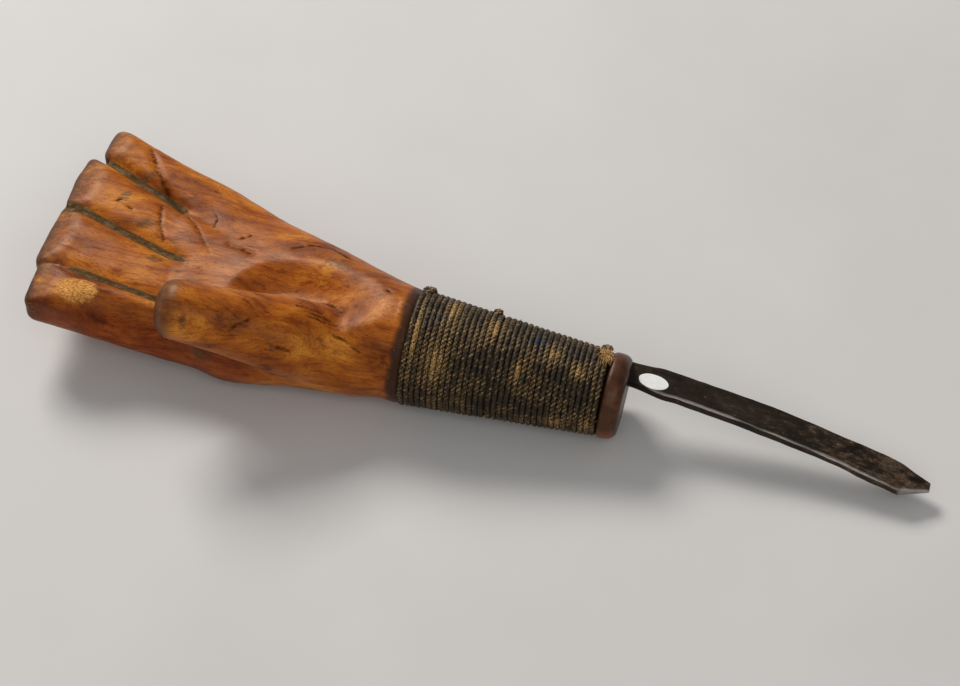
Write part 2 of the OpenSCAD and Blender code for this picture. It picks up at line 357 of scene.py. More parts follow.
# Creases on the palm's side, seen from above, each with its half width and depth
CREASES = [
    ([(-156, 49), (-151, 40), (-145.5, 33), (-139, 28)], 1.2, 0.6),
    ([(-139, 28), (-134, 23.5), (-126.3, 13.6)], 0.6, 0.22),
    ([(-145.6, 28), (-143.8, 21), (-141, 15.5)], 0.7, 0.25),
    ([(-122.2, 18.2), (-118.4, 16.9), (-114, 15.4)], 0.8, 0.5),
    ([(-103.1, 19.5), (-98.2, 22.2), (-92, 22), (-85.1, 17.2)], 0.5, 0.25),
    ([(-87.4, 1.8), (-85, 0.2), (-82.3, -1.8)], 0.9, 0.4),
    ([(-91.4, -8.4), (-83.1, -7)], 0.35, 0.2),
    ([(-90.2, -9.6), (-82, -8.1)], 0.35, 0.2),
    ([(-94, -7.6), (-87, -6)], 0.3, 0.15),
    ([(-83.6, -10.7), (-79, -11.6), (-74.2, -13.5)], 0.45, 0.25),
    ([(-109.1, -22.2), (-104.6, -17.8)], 0.4, 0.2),
    ([(-131, 31), (-128.4, 27.5), (-128.6, 24.6)], 0.3, 0.08),
    ([(-96, -20.3), (-92.5, -19.4)], 0.3, 0.1),
]

# Stains and nicks on the palm's side of the hand: kind, place, half length, half width, turn
MARKS = [
    ("stain", (-88, 14.4, 9), 6, 2.4, 0),
    ("stain", (-70, 14, 12), 3, 4, 60),
    ("stain", (-147, 20.5, 2), 5, 2.2, 25),
    ("stain", (-157, 27.5, 2), 3.6, 1.6, 70),
    ("stain", (-153.5, 37.5, 3), 4.5, 1.6, 25),
    ("stain", (-141, 8, 2), 3.5, 2, 0),
    ("stain", (-118.5, -16.4, -3.6), 4, 1.6, 0),
    ("nick", (-118.8, 21.5, 2), 1.1, 0.45, 30),
    ("nick", (-117, 22.9, 2), 0.9, 0.4, 70),
    ("stain", (-97, -20.6, 9.6), 1.2, 0.8, 30),
    ("stain", (-121.5, -25.4, 16.9), 1.6, 1.2, 40),
    ("nick", (-158, 26, 3), 1.5, 0.4, 40),
    ("nick", (-154, 24, 3), 1.6, 0.4, -20),
    ("nick", (-71, 5, 15), 1.4, 0.4, -30),
]


def hand_field(x, y, z):
    fingers = finger_field(0, x, y, z)
    for i in range(1, 4):
        fingers = blend_in(fingers, finger_field(i, x, y, z), 1.0)
    fingers = blend_in(fingers, np.maximum(fill_field(x, y, z), -10 - z), 0.7)
    field = blend_in(palm_field(x, y, z), fingers, 3)
    field = blend_in(field, heel_field(x, y, z), 7)
    field = blend_in(field, thumb_field(x, y, z), 2.2)
    field = cut_to(field, x - WRIST_X - 0.8, 1)
    # The wrist runs on under the twine
    neck_r = mix(HAND_START_R - 0.2, 15.2, np.clip((x - WRIST_X) / 4, 0, 1))
    neck = cut_to(np.sqrt(y * y + z * z) - neck_r, np.abs(x - WRIST_X) - 3, 1)
    return blend_in(field, neck, 1)


def surface_net(field, low, step):
    """Points and quads of the field's zero surface."""
    inside = field < 0
    corners = list(np.ndindex(2, 2, 2))
    size = np.array(field.shape)
    shifts = [tuple(slice(c, n - 1 + c) for c, n in zip(corner, size)) for corner in corners]
    count = sum(inside[shift].astype(np.int8) for shift in shifts)
    active = (count > 0) & (count < 8)
    index = np.full(active.shape, -1)
    index[active] = np.arange(active.sum())
    cell = np.argwhere(active)
    total = np.zeros((len(cell), 3))
    hits = np.zeros((len(cell), 1))
    for a in corners:
        for axis in range(3):
            if a[axis]:
                continue
            b = np.array(a)
            b[axis] = 1
            fa = field[tuple((cell + a).T)]
            fb = field[tuple((cell + b).T)]
            cross = (fa < 0) != (fb < 0)
            t = np.where(cross, fa / np.where(cross, fa - fb, 1), 0)[:, None]
            total += np.where(cross[:, None], a + t * (b - a), 0)
            hits += cross[:, None]
    points = (cell + total / hits) * step + low
    quads = []
    for axis in range(3):
        one, two = [k for k in range(3) if k != axis]
        near = [slice(1, n - 1) for n in size]
        near[axis] = slice(0, size[axis] - 1)
        far = list(near)
        far[axis] = slice(1, size[axis])
        change = inside[tuple(near)] != inside[tuple(far)]
        at = np.argwhere(change)
        at[:, one] += 1
        at[:, two] += 1
        around = []
        for da, db in ((0, 0), (-1, 0), (-1, -1), (0, -1)):
            spot = at.copy()
            spot[:, one] += da
            spot[:, two] += db
            around.append(index[tuple(spot.T)])
        quad = np.stack(around, 1)
        flip = inside[tuple(at.T)] == (axis == 1)
        quad[flip] = quad[flip][:, ::-1]
        quads.append(quad)
    return points, np.concatenate(quads)


def field_at(points):
    return hand_field(*points.T)


def settle(points, rounds=3):
    """Moves points onto the hand's surface."""
    e = 0.2
    for _ in range(rounds):
        value = field_at(points)
        slope = np.stack(
            [field_at(points + e * axis) - field_at(points - e * axis) for axis in np.eye(3)], -1
        ) / (2 * e)
        length = np.maximum((slope ** 2).sum(-1, keepdims=True), 0.05)
        step = np.clip(value[:, None] * slope / length, -0.4, 0.4)
        points = points - 0.8 * step
    return points, slope / np.sqrt(length)


def groove_mask(x, y, z, top):
    """1 in the grooves between the fingers, where two fingers touch."""
    grooves = np.zeros(len(x))
    sides = [finger_field(i, x, y, z) for i in range(4)]
    for a, b in zip(sides[:-1], sides[1:]):
        beside = ease((2.5 - np.maximum(a, b)) / 1)
        grooves = np.maximum(grooves, ease((np.minimum(a, b) + 0.25) / 0.5) * beside)
    begin = ease((-130 - x - 0.3 * np.maximum(y - 9, 0)) / 4)
    end = np.maximum(ease((x + 168) / 9), ease((y - 9) / 5))
    return grooves * top * begin * end


def patch_mask(x, y):
    """The patch of fresh wood on the index fingertip."""
    along = x + 158.5
    across = y + 10.2 - 0.12 * along
    return np.exp(-(((along / 6.6) ** 2 + (across / 4.2) ** 2) ** 2))


def hand_masks(points, normals, top):
    """What the wood needs to know about each point."""
    x, y, z = points.T
    reach = 1.2
    edge = (field_at(points - reach * normals) + reach) / reach
    hollow = (reach - field_at(points + reach * normals)) / reach
    nearest = np.abs(y[:, None] - TIP_MIDDLE).argmin(1)
    from_tip = x - np.array([WRIST_X - r * HAND_L for r in TIP_REACH])[nearest]
    from_thumb = x - THUMB_TIP_X
    on_thumb = ease((z - 7) / 2) * ease((-9 - y) / 2)
    facet = np.exp(-((thumb_facet(x, y, z) / 1.1) ** 2))
    return {
        "edge": np.clip(edge, 0, 1),
        "hollow": np.clip(hollow, 0, 1),
        "groove": groove_mask(x, y, z, top),
        "tips": np.maximum(ease(1 - from_tip / 12), on_thumb * ease(1 - from_thumb / 10)),
        "ends": np.maximum(ease(1 - from_tip / 3.2), on_thumb * ease(1 - from_thumb / 3.6)),
        "pared": on_thumb * facet * ease((-110 - x) / 6),
        # Where painted shade falls: the lower near side of the index finger
        "side_shade": ease((-6 - y) / 8) * ease((-96 - x) / 14) * ease((3 - z) / 6),
        "tar": ease(1 - (WRIST_X - x + 0.6 * noise(points, 4)) / 4.6),
        "patch": patch_mask(x, y) * top,
    }


def crease_marks(points, top):
    """A mask and a depth for every point, from the creases."""
    x, y = points.T[:2]
    cracks_and_shade = np.zeros(len(points))
    depth = np.zeros(len(points))
    for line, wide, deep in CREASES:
        away = near_line(x, y, line) + 0.3 * noise(points, 5)
        cracks_and_shade = np.maximum(cracks_and_shade, np.exp(-((away / (0.5 * wide + 0.25)) ** 2)) * top)
        depth = np.maximum(depth, deep * np.exp(-((away / wide) ** 2)) * top)
    return cracks_and_shade, depth


def add_marks(masks, points):
    x, y, z = points.T
    for key, centre, along, wide, angle in MARKS:
        a = np.radians(angle)
        u = (x - centre[0]) * np.cos(a) + (y - centre[1]) * np.sin(a)
        v = (y - centre[1]) * np.cos(a) - (x - centre[0]) * np.sin(a)
        far = np.abs(z - centre[2]) / 6
        spot = np.exp(-(((u / along) ** 2 + (v / wide) ** 2 + far ** 4) ** 1.5))
        masks[key] = np.maximum(masks.get(key, 0), spot)


def make_hand():
    step = 0.54
    low = HANDLE_LOW - 2
    high = np.array([WRIST_X + 5, HANDLE_HIGH[1] + 2, HANDLE_HIGH[2] + 3])
    axes = [np.arange(a, b, step).astype(np.float32) for a, b in zip(low, high)]
    grid = np.meshgrid(*axes, indexing="ij", sparse=True)
    points, quads = surface_net(hand_field(*grid), low, step)
    points, normals = settle(points)
    top = ease((normals[:, 2] - 0.1) / 0.4)
    masks = hand_masks(points, normals, top)
    masks["crack_and_shade"], depth = crease_marks(points, top)
    add_marks(masks, points)
    # Knife strokes and wear leave the surface uneven
    uneven = 0.22 * noise(points * (0.5, 1, 1), 7) + 0.1 * noise(points * (0.6, 1, 1), 2.6)
    dents = 0.4 * masks["nick"] + depth
    points = points + normals * (uneven - dents - 0.12 * masks["patch"])[:, None]
    return add_mesh("hand", points, quads, masks)


# ---- collar and wrist core

def collar_profile():
    """X and radius along the wrist's core, the collar's rounded edges and its front face."""
    core = COLLAR_R - TWINE_D - 0.1
    grow = (WHIP_HAND_R - COLLAR_R) / WHIP_L
    profile = [(WRIST_X + 2, core + grow * (WHIP_L - 2))]
    profile += [(x, core + grow * (COLLAR_X - x)) for x in np.linspace(WRIST_X + 8, COLLAR_X, 12)]
    # The back edge: distance past the twine, and how far below the collar's radius
    for past, below in ((0, 1.1), (0.3, 0.5), (0.8, 0.1), (1.4, 0)):
        profile.append((COLLAR_X + past, COLLAR_R - below))
    for a in np.linspace(0, 1.5, 16):
        profile.append((-2.9 + 2.9 * sin(a), COLLAR_R - 2.5 * (1 - cos(a))))
    profile += [(-0.01 * k, COLLAR_R - 2.6 - k * 1.5) for k in range(6)]
    return profile


def cut_tang_hole(collar):
    hole = add_mesh("tang_hole", *skin(blade_rings([1.5, 0, -4, -12], gap=0.3)))
    cut = collar.modifiers.new("hole", "BOOLEAN")
    cut.object = hole
    cut.solver = "EXACT"
    graph = bpy.context.evaluated_depsgraph_get()
    done = bpy.data.meshes.new_from_object(collar.evaluated_get(graph))
    collar.modifiers.clear()
    collar.data = done
    bpy.data.objects.remove(hole)


def make_collar():
    """The wooden collar with the wrist's core behind it."""
    angle = circle(160)
    rings = np.array([
        np.stack([x + 0 * angle, radius * np.cos(angle), radius * np.sin(angle)], 1)
        for x, radius in collar_profile()
    ])
    out = rings * (0, 1, 1)
    length = np.maximum(np.linalg.norm(out, axis=-1, keepdims=True), 1)
    worn = 0.16 * noise(rings, 5) + 0.07 * noise(rings, 1.8)
    seen = ease((rings[..., :1] - COLLAR_X) / 1.0) * ease(length / 6)
    rings = rings + out / length * worn[..., None] * seen
    points, faces = skin(rings[:, ::-1])
    x, y, z = points.T
    tar = ease((COLLAR_X + 0.9 - x) / 0.9)
    front = ease((x + 0.9 + 0.3 * noise(points, 3)) / 0.5)
    low = ease((2 - z) / 9) * (1 - front)
    # Bare orange wood where the blade has chipped the collar
    chip = np.exp(-((np.hypot(y - 9, z - 6.5) / 1.8) ** 2)) * ease((x + 2) / 1)
    collar = add_mesh("collar", points, faces, {"tar": tar, "front": front, "low": low, "chip": chip})
    cut_tang_hole(collar)
    return collar


# ---- twine

STRANDS = 3
# The length of one twist, and the depth of the valleys between strands as a share of the radius
TWIST_L = 4.6
LOBE = 0.3
ROPE_AROUND = 18
# Each length starts and ends at this angle from the top, underneath the wrist
LAY_START = radians(150)
# How far a turn leans out of its place, and how deep an end is tucked under
LEAN = 0.14
TUCK = 0.5
# Where the tar has worn through to fibre: x, angle from the top towards the thumb, sizes
WORN_SPOTS = [
    (-51.5, -14, 1.9, 24), (-53, 52, 3.2, 26), (-39, -4, 2.2, 16), (-21.5, 8, 2, 12),
    (-13.5, 22, 2.2, 10), (-17, 100, 2.4, 12), (-9, 96, 1.4, 20), (-60, 30, 1, 40), (-30, 40, 1.2, 14),
]
# Where the knots lie round the wrist; each one's place, length in degrees and swing along it
KNOT_ANGLE = -49
KNOT_PHASE = 0.6
KNOTS = [
    ("wrist", WRIST_X + 2.6, 17, 1.5),
    ("middle", SPLIT_X - 2.4, 9, 0.8),
    ("collar", COLLAR_X - 2.4, 12, 1.0),
]
# Where loose fibres stand: x, angle, spread along and around
TUFT = [(COLLAR_X - 2.2, -24, 1.0, 7), (COLLAR_X - 1.2, -14, 0.8, 6)]
FUZZ = [(x, a, 4, 30) for x in (-57, -46, -33, -20, -10) for a in (-30, 30, 90, 150, 210)]


def whip_r(x):
    """Radius outside the twine at x."""
    return mix(WHIP_HAND_R, COLLAR_R, (x - WRIST_X) / WHIP_L)


def on_wrist(x, degrees, lift):
    a = radians(degrees)
    r = whip_r(x) + lift
    return np.array([x, -r * sin(a), r * cos(a)])


def rope(name, path, out, radius, masks):
    """A tube of twisted strands along a path; out is a direction away from the wrist."""
    path = np.asarray(path)
    ahead = unit(np.gradient(path, axis=0))
    side = unit(np.cross(ahead, out))
    up = np.cross(side, ahead)
    run = np.concatenate([[0], np.cumsum(np.linalg.norm(np.diff(path, axis=0), axis=1))])[:, None]
    turn = -run * 2 * pi / TWIST_L
    phi = circle(ROPE_AROUND)
    crest = np.abs(np.cos(STRANDS / 2 * (phi - turn)))
    spot = np.stack(np.broadcast_arrays(run, 9 * np.cos(phi), 9 * np.sin(phi)), -1)
    fuzz = 1 + 0.08 * noise(spot, 0.9)
    size = radius[:, None] * (1 - LOBE * (1 - crest)) * fuzz
    outward = np.cos(phi)[:, None] * up[:, None] - np.sin(phi)[:, None] * side[:, None]
    points, faces = skin(path[:, None] + size[..., None] * outward)
    spread = {}
    for key, value in masks.items():
        whole = np.repeat(value, ROPE_AROUND)
        spread[key] = np.concatenate([whole, whole[:1], whole[-1:]])
    outer = np.broadcast_to(np.cos(phi), crest.shape)
    spread["crest"] = np.concatenate([crest.ravel(), [1, 1]])
    spread["outer"] = np.concatenate([outer.ravel(), [0, 0]])
    return add_mesh(name, points, faces, spread)


def twine_masks(x, angle):
    """Where a length of twine is worn to fibre, and where it has a blue fleck."""
    degrees = np.degrees((angle + pi) % (2 * pi) - pi)
    worn = np.zeros(len(x))
    for at_x, at_angle, wide, tall in WORN_SPOTS:
        near = ((x - at_x) / wide) ** 2 + ((degrees - at_angle) / tall) ** 2
        worn = np.maximum(worn, np.exp(-near))
    blue = np.exp(-(((x + 26.3) / 1.8) ** 2 + ((degrees + 8) / 9) ** 2) ** 2)
    return {"worn": worn, "blue": blue}


def make_whipping(name, from_x, to_x, seed, lead=0.0, trail=0.0):
    """A close helix of twine from one X to another, with its ends tucked under."""
    turns = int(round((to_x - from_x) / TWINE_D))
    per_turn = 176
    count = turns * per_turn + 1
    t = np.linspace(0, turns, count)
    angle = 2 * pi * t + LAY_START
    # The lay is uneven: turns lean and crowd together
    random = np.random.default_rng(seed)
    first = from_x + TWINE_D / 2 - lead
    pitch = (to_x - TWINE_D / 2 + trail - first) / turns
    shove = np.interp(t, np.arange(turns + 1), random.uniform(-LEAN, LEAN, turns + 1))
    shove[(t < 1) | (t > turns - 1)] = 0
    x = first + pitch * t + shove * np.sin(angle / 2) ** 2
    wobble = noise(np.stack([x, 16 * np.sin(angle), 16 * np.cos(angle)], 1), 3)
    sink = TUCK * (ease(1 - t / 0.08) + ease(1 - (turns - t) / 0.08))
    ring = whip_r(x) - TWINE_D / 2 + 0.09 * wobble - sink
    out = np.stack([0 * angle, -np.sin(angle), np.cos(angle)], 1)
    path = out * ring[:, None]
    path[:, 0] = x
    radius = np.full(count, TWINE_D / 2 * 1.03)
    return rope(name, path, out, radius, twine_masks(x, angle))


def make_knot(name, x, spread, swing):
    """A low lump of twine that crosses the turns and dives under them at both ends."""
    count = 70
    path = []
    for s in np.linspace(-1, 1, count):
        lift = 0.35 - 1.6 * abs(s) ** 3
        at_x = x + swing * sin(3 * s + KNOT_PHASE)
        path.append(on_wrist(at_x, KNOT_ANGLE + spread * s, lift))
    path = np.array(path)
    masks = {"worn": np.full(count, 0.25), "blue": np.zeros(count)}
    return rope(name, path, unit(path * (0, 1, 1)), np.full(count, TWINE_D / 2 * 1.1), masks)


def add_spike(points, faces, centres, radii, out, side):
    """Adds one closed three-sided spike through the centres."""
    base = len(points)
    for centre, r in zip(centres, radii):
        for a in (0, 2.094, 4.189):
            points.append(centre + r * (out * cos(a) + side * sin(a)))
    for k in range(len(radii) - 1):
        for i in range(3):
            a = base + 3 * k + i
            b = base + 3 * k + (i + 1) % 3
            faces.append([a, b, b + 3, a + 3])
    top = len(points) - 3
    faces.append([base + 2, base + 1, base])
    faces.append([top, top + 1, top + 2])


def make_fibres(name, places, count, length, thick, seed, wildness):
    """Loose fibres: thin curved spikes out of the twine."""
    random = np.random.default_rng(seed)
    points = []
    faces = []
    share = np.arange(7) / 6
    for _ in range(count):
        x, degrees, wide, tall = places[random.integers(len(places))]
        start = on_wrist(x + random.normal() * wide, degrees + random.normal() * tall, -0.25)
        out = unit(start * (0, 1, 1))
        around = np.cross((1, 0, 0), out)
        heading = around * random.choice([-1, 1]) + random.normal(size=3) * wildness
        heading = unit(heading - out * (heading @ out) * 0.8)
        long = length * random.uniform(0.5, 1.2)
        bow = random.uniform(0.1, 0.35)
        rise = [long * bow * sin(pi * min(t * 1.3, 1)) + 0.12 for t in share]
        centres = [start + heading * long * t + out * up for t, up in zip(share, rise)]
        add_spike(points, faces, centres, thick * (1 - 0.75 * share), out, np.cross(heading, out))
    flat = {"worn": 1, "blue": 0, "crest": 1, "outer": 1}
    return add_mesh(name, points, faces, {key: np.full(len(points), value) for key, value in flat.items()})


# ---- blade

TIP_X = BLADE_HIGH[0]
TANG_L = -BLADE_LOW[0]
# Where the blade leaves the collar: its middle, its top, and its half width and thickness
NECK_Y = 5
NECK_TOP = 6.4
NECK_HALF_W = 3.6
NECK_T = 3.2
# The tang's end: its top, half width and thickness
TANG_TOP = 1.4
TANG_HALF_W = 1.2
TANG_T = 2.4
HALF_WIDTHS = [
    (0, NECK_HALF_W), (2.4, 3.65), (6, 4.1), (9.5, 4.62), (14, 4.6),
    (30, 4.72), (55, 4.8), (72, 5.05), (TIP_X, 5.0),
]
THICKNESSES = [(0, NECK_T), (20, 3.2), (50, 3.1), (61, 2.75), (70, 3.0), (TIP_X, 3.0)]
# The point is cut from the near side: its length and how much it takes off
POINT_L = 8.6
POINT_CUT = 4.8
CHANNEL_DEPTH = 0.7


def down_tang(x, neck, end):
    return mix(neck, end, np.clip(-x / TANG_L, 0, 1))


def near_tip(x, length):
    """0 until length before the cutting end, and 1 at it."""
    return np.clip((x - TIP_X + length) / length, 0, 1)


def line_y(x):
    return np.where(x < 0, down_tang(x, NECK_Y, 0), NECK_Y - 0.05 * x - 0.00095 * x * x)


def top_z(x):
    return np.where(x < 0, down_tang(x, NECK_TOP, TANG_TOP), NECK_TOP - 0.036 * x - 0.0003 * x * x)


def blade_half(x):
    return np.where(x < 0, down_tang(x, NECK_HALF_W, TANG_HALF_W), curve(x, HALF_WIDTHS))


def blade_thick(x):
    body = mix(curve(x, THICKNESSES), 0.5, near_tip(x, POINT_L) ** 1.5)
    return np.where(x < 0, down_tang(x, NECK_T, TANG_T), body)


def corner(edge, inward, high, soft, shares):
    """A rounded corner between the blade's top and one side."""
    turns = [share * pi / 2 for share in shares]
    return [(edge + inward * soft * (1 - sin(a)), high - soft * (1 - cos(a))) for a in turns]


def wall(edge, inward, high, drop, shares):
    """One side of the blade, leaning inward."""
    return [(edge + inward * share, high - drop * share) for share in shares]


def blade_section(x, gap):
    """Across the blade at x: a shallow channel on top, softened edges, a narrower underside."""
    far = line_y(x) + blade_half(x) + gap - 2.1 * near_tip(x, 11) ** 1.3
    near = line_y(x) - blade_half(x) - gap + POINT_CUT * near_tip(x, POINT_L)
    mid = (far + near) / 2
    half = (far - near) / 2
    top = top_z(x) + gap
    thick = blade_thick(x) + 2 * gap
    keep = min(1, (half / (blade_half(x) + gap)) ** 2)
    channel = CHANNEL_DEPTH * float(ease((x - 14) / 12))
    under = channel * mix(0.3, 1, float(ease(near_tip(x, 25))))
    soft = 0.34 * min(1, thick / 2)
    rim = top - channel * (1 - keep)
    drop = thick - 2 * soft
    lean = 0.05 * half
    ring = [(mid + (half - soft) * u, top - channel * (1 - keep * u * u)) for u in np.linspace(1, -1, 15)]
    ring += corner(near, 1, rim, soft, (0.25, 0.5, 0.75))
    ring += wall(near, lean, rim - soft, drop, np.linspace(0.14, 0.86, 5))
    for u in np.linspace(-1, 1, 11):
        ring.append((mid + (0.92 * half - soft) * u, top - thick - under * (1 - keep * u * u)))
    ring += wall(far, -lean, rim - soft, drop, np.linspace(0.86, 0.14, 5))
    ring += corner(far, -1, rim, soft, (0.75, 0.5, 0.25))
    return [(x, y, z) for y, z in ring]


def blade_rings(stations, gap=0.0):
    return np.array([blade_section(x, gap) for x in stations], float)


def forge(rings):
    """Hammered edges wander along the blade, and its faces have shallow dents."""
    x, y, z = np.moveaxis(rings, -1, 0)
    seen = ease(x / 3) * ease((TIP_X - x) / 2 + 0.2)
    off = y - line_y(x)
    side = np.sign(off) * ease((np.abs(off) - 2) / 2.5)
    wander = 0.28 * noise(np.stack([x, 0 * x, side * 5], -1), 9)
    wander += 0.1 * noise(np.stack([x, 0 * x, side * 9], -1), 3)
    dents = 0.14 * noise(rings, 6) + 0.06 * noise(rings, 2.2)
    dents += 0.1 * noise(np.stack([x, side * 4, 0 * x], -1), 5)
    return np.stack([x, y + seen * side * wander, z + seen * dents], -1)


def make_blade():
    rings = forge(blade_rings(np.concatenate([
        np.linspace(TIP_X, TIP_X - 12, 60),
        np.linspace(TIP_X - 12.25, 0.2, 300),
        np.linspace(0, -TANG_L, 26),
    ])))
    points, faces = skin(rings)
    # The near edge of the top, by its place in each ring, gets a painted highlight
    bright = np.interp(np.arange(rings.shape[1]), [12, 13, 14, 17, 18], [0, 0.6, 1, 1, 0])
    edge_highlight = np.tile(bright, len(rings)) * (0.75 + 0.35 * noise(rings.reshape(-1, 3), 5))
    x, y = points.T[:2]
    edge_highlight = np.concatenate([edge_highlight, [0, 0]]) * ease(x / 9)
    # The ground facet lies along the cut at the point
    cut_y = line_y(x) - 5 + POINT_CUT * near_tip(x, POINT_L)
    ground = ease((x - TIP_X + 9) / 1.5) * ease((cut_y + 1.1 - y) / 0.8)
    masks = {"edge_highlight": np.clip(edge_highlight, 0, 1), "ground": np.clip(ground, 0, 1)}
    return add_mesh("forged_blade", points, faces, masks)


# ---- label

# Half length and half width of the sticker, and its section from the rim to the middle
LABEL_HALF_L = 4.4
LABEL_HALF_W = 2.65
LABEL_SECTION = [
    (0.2, 0.0), (0.6, 0.0), (1.0, 0.0), (1.0, 0.1), (0.985, 0.17),
    (0.95, 0.2), (0.8, 0.22), (0.5, 0.235), (0.2, 0.24),
]


def make_label():
    """A thin oval sticker that follows the blade, its rim a little uneven."""
    centre = (LABEL_LOW + LABEL_HIGH) / 2
    yaw = -atan(0.05 + 0.0019 * centre[0])
    pitch = -(0.036 + 0.0006 * centre[0])
    angle = circle(72)
    rim = 1 + 0.012 * np.sin(3 * angle + 1) + 0.008 * np.sin(7 * angle)
    rings = []
    for share, height in LABEL_SECTION:
        u = LABEL_HALF_L * share * rim * np.cos(angle)
        v = LABEL_HALF_W * share * rim * np.sin(angle)
        x = centre[0] + u * cos(yaw) - v * sin(yaw)
        y = centre[1] + u * sin(yaw) + v * cos(yaw)
        z = LABEL_HIGH[2] - 0.36 + (x - LABEL_LOW[0]) * pitch + height
        rings.append(np.stack([x, y, z], 1))
    points, faces = skin(rings)
    return add_mesh("blank_label", points, faces)


# ---- materials

class Paint:
    """A material and short ways to add nodes to it."""

    def __init__(self, name):
        self.material = bpy.data.materials.new(name)
        self.material.use_nodes = True
        self.tree = self.material.node_tree
        self.shader = self.tree.nodes["Principled BSDF"]
        self.colour = None

    def node(self, kind, inputs=None, **settings):
        made = self.tree.nodes.new("ShaderNode" + kind)
        for key, value in settings.items():
            setattr(made, key, value)
        for key, value in (inputs or {}).items():
            self.put(value, made.inputs[key])
        return made

    def put(self, value, socket):
        if isinstance(value, bpy.types.NodeSocket):
            self.tree.links.new(value, socket)
        else:
            socket.default_value = value

    def place(self, stretch, drift=None):
        """Position in millimetres, divided by stretch along each axis, and moved by drift."""
        spot = self.node("TexCoord").outputs["Object"]
        if drift is not None:
            spot = self.node("VectorMath", {0: spot, 1: drift}, operation="ADD").outputs[0]
        scale = tuple(1 / (MM * s) for s in stretch)
        return self.node("VectorMath", {0: spot, 1: scale}, operation="MULTIPLY").outputs[0]

    def noise(self, stretch, detail=3.0, rough=0.55, drift=None, out="Fac", distort=0.0):
        where = self.place(stretch, drift)
        settings = {"Vector": where, "Scale": 1.0, "Detail": detail, "Roughness": rough}
        return self.node("TexNoise", {**settings, "Distortion": distort}).outputs[out]

    def math(self, operation, a, b=0.0, clamp=False):
        return self.node("Math", {0: a, 1: b}, operation=operation, use_clamp=clamp).outputs[0]

    def times(self, a, b):
        return self.math("MULTIPLY", a, b)

    def plus(self, a, b, clamp=False):
        return self.math("ADD", a, b, clamp)

    def most(self, a, b):
        return self.math("MAXIMUM", a, b)

    def less(self, a, b, clamp=False):
        return self.math("SUBTRACT", a, b, clamp)

    def spread(self, value, low, high, from_low=0.0, from_high=1.0, kind="LINEAR"):
        settings = {"Value": value, "From Min": from_low, "From Max": from_high}
        settings.update({"To Min": low, "To Max": high})
        return self.node("MapRange", settings, interpolation_type=kind).outputs[0]

    def step(self, value, low, high):
        """0 below low and 1 above high, or the other way round where low is above high."""
        return self.spread(value, 0.0, 1.0, low, high, "SMOOTHSTEP")

    def mask(self, name):
        return self.node("Attribute", attribute_name=name).outputs["Fac"]

    def ramp(self, value, stops):
        made = self.node("ValToRGB", {"Fac": value})
        band = made.color_ramp
        while len(band.elements) < len(stops):
            band.elements.new(0.5)
        for element, (at, colour) in zip(band.elements, stops):
            element.position = at
            element.color = (*colour, 1)
        return made.outputs["Color"]

    def mixed(self, share, paint, kind="MIX"):
        """The colour so far with a share of the paint."""
        made = self.node("Mix", data_type="RGBA", blend_type=kind)
        paint = (*paint, 1) if isinstance(paint, tuple) else paint
        for value, socket in zip((share, self.colour, paint), (0, 6, 7)):
            self.put(value, made.inputs[socket])
        return made.outputs[2]

    def coat(self, share, paint):
        self.colour = self.mixed(share, paint)

    def over(self, mask, most, paint):
        self.coat(self.times(mask, most), paint)

    def shade(self, share, by):
        self.coat(share, self.mixed(1.0, by, "MULTIPLY"))

    def bump(self, height, strength, distance, under=None):
        settings = {"Height": height, "Strength": strength, "Distance": distance * MM}
        if under is not None:
            settings["Normal"] = under
        return self.node("Bump", settings).outputs["Normal"]

    def finish(self, **sockets):
        sockets["Base_Color"] = self.colour
        for key, value in sockets.items():
            socket = self.shader.inputs[key.replace("_", " ")]
            self.put((*value, 1) if isinstance(value, tuple) and len(value) == 3 else value, socket)
        return self.material


def grain(p, tone):
    """Bare wood with fine grain along X and blotches; returns its height and noises."""
    wave = p.noise((34, 22, 22), 1.0, out="Color")
    wave = p.node("VectorMath", {0: wave, 1: (0.5, 0.5, 0.5)}, operation="SUBTRACT").outputs[0]
    drift = p.node("VectorMath", {0: wave, "Scale": 0.012}, operation="SCALE").outputs[0]
    broad = p.noise((20, 9, 9), 3.0, 0.6, drift)
    blotch = p.noise((7, 3.6, 3.6), 4.0, 0.65, drift)
    fibre = p.noise((4.6, 0.36, 0.36), 5.0, 0.78, drift)
    rings = p.noise((36, 1.5, 1.5), 3.0, 0.6, drift)
    speck = p.noise((0.9, 0.35, 0.35), 2.0, 0.6)
    p.colour = p.ramp(broad, [(0.3, tone[0]), (0.5, tone[1]), (0.68, tone[2])])
    p.shade(p.step(rings, 0.46, 0.66), (0.72, 0.55, 0.42))
    p.shade(p.step(fibre, 0.54, 0.74), (0.5, 0.36, 0.28))
    p.shade(p.step(fibre, 0.46, 0.3), (1.22, 1.2, 1.15))
    p.shade(p.step(blotch, 0.56, 0.74), (0.42, 0.26, 0.2))
    p.coat(p.times(p.step(speck, 0.66, 0.76), 0.55), (0.06, 0.022, 0.007))
    pores = p.step(p.noise((2.6, 0.26, 0.26), 2.0, 0.6, drift), 0.55, 0.64)
    p.shade(p.times(pores, 0.75), (0.42, 0.28, 0.18))
    scratch = p.noise((11, 0.8, 0.8), 1.0, 0.4, drift, distort=0.6)
    thin = p.step(p.math("ABSOLUTE", p.less(scratch, 0.57)), 0.012, 0.0)
    thin = p.times(thin, p.step(p.noise((9, 7, 7), 1.0), 0.5, 0.62))
    p.over(thin, 0.75, (0.045, 0.02, 0.01))
    height = p.plus(p.times(fibre, -0.7), p.times(thin, -1.2))
    return height, blotch, fibre, speck


